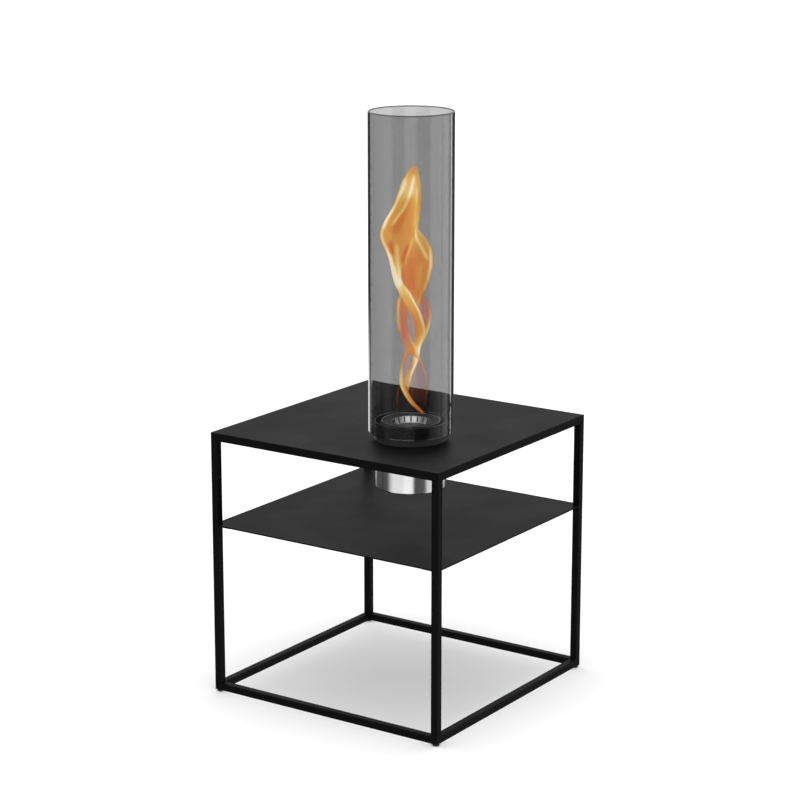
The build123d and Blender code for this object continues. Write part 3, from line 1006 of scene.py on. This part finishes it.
PANEL_STREAKS = [
    (0.42, 2.6, [(310, 5), (299, 6), (288, 11), (273, 19), (259, 25)]),
    (-0.12, 5.0, [(268, -2), (240, 0), (215, 4)]),
    (0.16, 3.0, [(293, 3), (272, -5), (250, -11)]),
    (0.14, 4.0, [(262, 14), (240, 12), (216, 9)]),
]
print("the flame stands", SHEET_KEYS[0][0] - RIGHT_STRAND_KEYS[-1][0], "mm tall")

# %% [markdown]
# A ribbon's section is a thin lens between its two edges. The keys are joined by smooth
# curves, and two attributes go onto every point: glow, which a ramp turns into colour, and
# cover, which says how much of what lies behind is hidden. Painted on the mesh like this, the
# bright edges stay where they are when the table is seen from another side.

# %% Flame ribbons
# In mm, apart from the two shares. A ribbon's thickness is a share of its width, up to a limit
FLAME_STEP = 1.5
THICK_SHARE = 0.07
THICK_LIMIT = 2.2
EDGE_INSET = 2.6
EDGE_WIDTH = 2.2
EDGE_FADE = 1.6
STREAK_FADE = 8
MOST_COVER = 0.98


def eased(keys, height):
    """Every column of the keys at a height, on smooth curves through the keys."""
    if height >= keys[0][0]:
        return keys[0][1:]
    for i in range(len(keys) - 1):
        if height >= keys[i + 1][0]:
            break
    first, second = keys[i], keys[i + 1]
    before, after = keys[max(i - 1, 0)], keys[min(i + 2, len(keys) - 1)]
    span = second[0] - first[0]
    t = (height - first[0]) / span
    values = []
    for a, b, c, d in zip(before[1:], first[1:], second[1:], after[1:]):
        slope_in = (c - a) / (second[0] - before[0]) * span
        slope_out = (d - b) / (after[0] - first[0]) * span
        values.append((2 * t**3 - 3 * t**2 + 1) * b + (t**3 - 2 * t**2 + t) * slope_in
                      + (3 * t**2 - 2 * t**3) * c + (t**3 - t**2) * slope_out)
    return values


def bell(distance, width):
    return math.exp(-(distance / width) ** 2)


def streak_heat(streaks, height, across):
    heat = 0.0
    for strength, width, points in streaks:
        if points[0][0] >= height >= points[-1][0]:
            middle = eased(points, height)[0]
            ends = min(points[0][0] - height, height - points[-1][0]) / STREAK_FADE
            heat += strength * bell(across - middle, width) * min(ends, 1)
    return heat


def flame_point(height, across, depth):
    """A point given as the lens sees it, moved down a little where it lies deeper."""
    x = across * math.cos(LENS_TURN) - depth * math.sin(LENS_TURN)
    y = across * math.sin(LENS_TURN) + depth * math.cos(LENS_TURN)
    z = height - depth * LENS_FALL
    return Vector((glass_centre.x, glass_centre.y, top_level)) + Vector((x, y, z)) * MM


def flame_ribbon(name, keys, heats, streaks, across_steps, material):
    rows = int((keys[0][0] - keys[-1][0]) / FLAME_STEP)
    around = 2 * across_steps
    points, heat_marks, cover_marks, faces = [], [], [], []
    for row in range(rows + 1):
        height = keys[0][0] + (keys[-1][0] - keys[0][0]) * row / rows
        left, left_depth, right, right_depth = eased(keys, height)
        middle_heat, left_heat, right_heat, cover = eased(heats, height)
        chord = math.hypot(right - left, right_depth - left_depth)
        half = min(THICK_LIMIT, THICK_SHARE * chord)
        for step in range(around):
            angle = 2 * math.pi * step / around
            share = (1 - math.cos(angle)) / 2
            out = half * math.sin(angle)
            across = left + (right - left) * share - out * (right_depth - left_depth) / chord
            depth = left_depth + (right_depth - left_depth) * share + out * (right - left) / chord
            from_left, from_right = (right - left) * share, (right - left) * (1 - share)
            heat = middle_heat + left_heat * bell(from_left - EDGE_INSET, EDGE_WIDTH)
            heat += right_heat * bell(from_right - EDGE_INSET, EDGE_WIDTH)
            heat += streak_heat(streaks, height, across)
            edge = min(1.0, min(from_left, from_right) / EDGE_FADE)
            points.append(flame_point(height, across, depth))
            heat_marks.append(heat)
            # Light crosses a front and a back, so each hides less and both together give the cover
            cover_marks.append(1 - math.sqrt(1 - max(0.0, min(cover, MOST_COVER)) * edge))
    for row in range(rows):
        here, under = row * around, (row + 1) * around
        for step in range(around):
            following = (step + 1) % around
            faces.append((here + step, here + following, under + following, under + step))
    for row in (0, rows):
        ring = [row * around + step for step in range(around)]
        faces.append(ring if row else ring[::-1])
    piece = smooth_piece(name, points, faces, material)
    paint_mark(piece, "glow", heat_marks)
    paint_mark(piece, "cover", cover_marks)
    # The glow is only looked at: in the photograph it lights nothing round it
    piece.visible_diffuse = False
    piece.visible_glossy = False
    piece.visible_shadow = False
    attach(piece, "fuel_can")
    return piece


print("a ribbon gets a row of points every", FLAME_STEP, "mm")

# %% [markdown]
# A flame's colour follows its heat, from deep orange at thin edges to pale yellow where sheets
# fold over. One ramp turns the painted glow into colour, and cover goes into Alpha, so that
# thin parts let the background through.

# %% Flame colour
HEAT_STOPS = [
    (0.0, (0.6, 0.1, 0.015, 1.0)), (0.25, (0.645, 0.2, 0.03, 1.0)), (0.5, (0.72, 0.4, 0.078, 1.0)),
    (0.75, (0.86, 0.6, 0.24, 1.0)), (1.0, (1.0, 0.84, 0.58, 1.0)),
]
FLAME_STRENGTH = 2.0
WISP_SHARE = 0.16

paint = new_finish("flame")
drawn = paint.stretch(paint.place(), (140.0, 140.0, 18.0))
wisps = paint.noise(drawn, scale=1.0, detail=3.0)
warmth = paint.mark("glow") + (wisps - 0.5) * WISP_SHARE
colour = paint.node("ShaderNodeValToRGB", {"stops": HEAT_STOPS}, {"Fac": warmth})
paint.principled({
    "Base Color": grey(0.0),
    "Roughness": 1.0,
    "Specular IOR Level": 0.0,
    "Emission Color": colour,
    "Emission Strength": FLAME_STRENGTH,
    "Alpha": paint.mark("cover"),
})
print("flame has", len(paint.tree.nodes), "nodes")

# %% Wind the flame
top_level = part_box("table_top")[1].z
ribbons = [
    ("flame_sheet", SHEET_KEYS, SHEET_HEAT, SHEET_STREAKS, 44),
    ("flame_panel", PANEL_KEYS, PANEL_HEAT, PANEL_STREAKS, 36),
    ("flame_strand_left", LEFT_STRAND_KEYS, LEFT_STRAND_HEAT, [], 16),
    ("flame_strand_right", RIGHT_STRAND_KEYS, RIGHT_STRAND_HEAT, [], 16),
    ("flame_veil", VEIL_KEYS, VEIL_HEAT, [], 16),
    ("flame_wisp", WISP_KEYS, WISP_HEAT, [], 8),
]
for name, keys, heats, streaks, across_steps in ribbons:
    ribbon = flame_ribbon(name, keys, heats, streaks, across_steps, finishes["flame"])
    print(name, "has", len(ribbon.data.polygons), "faces")
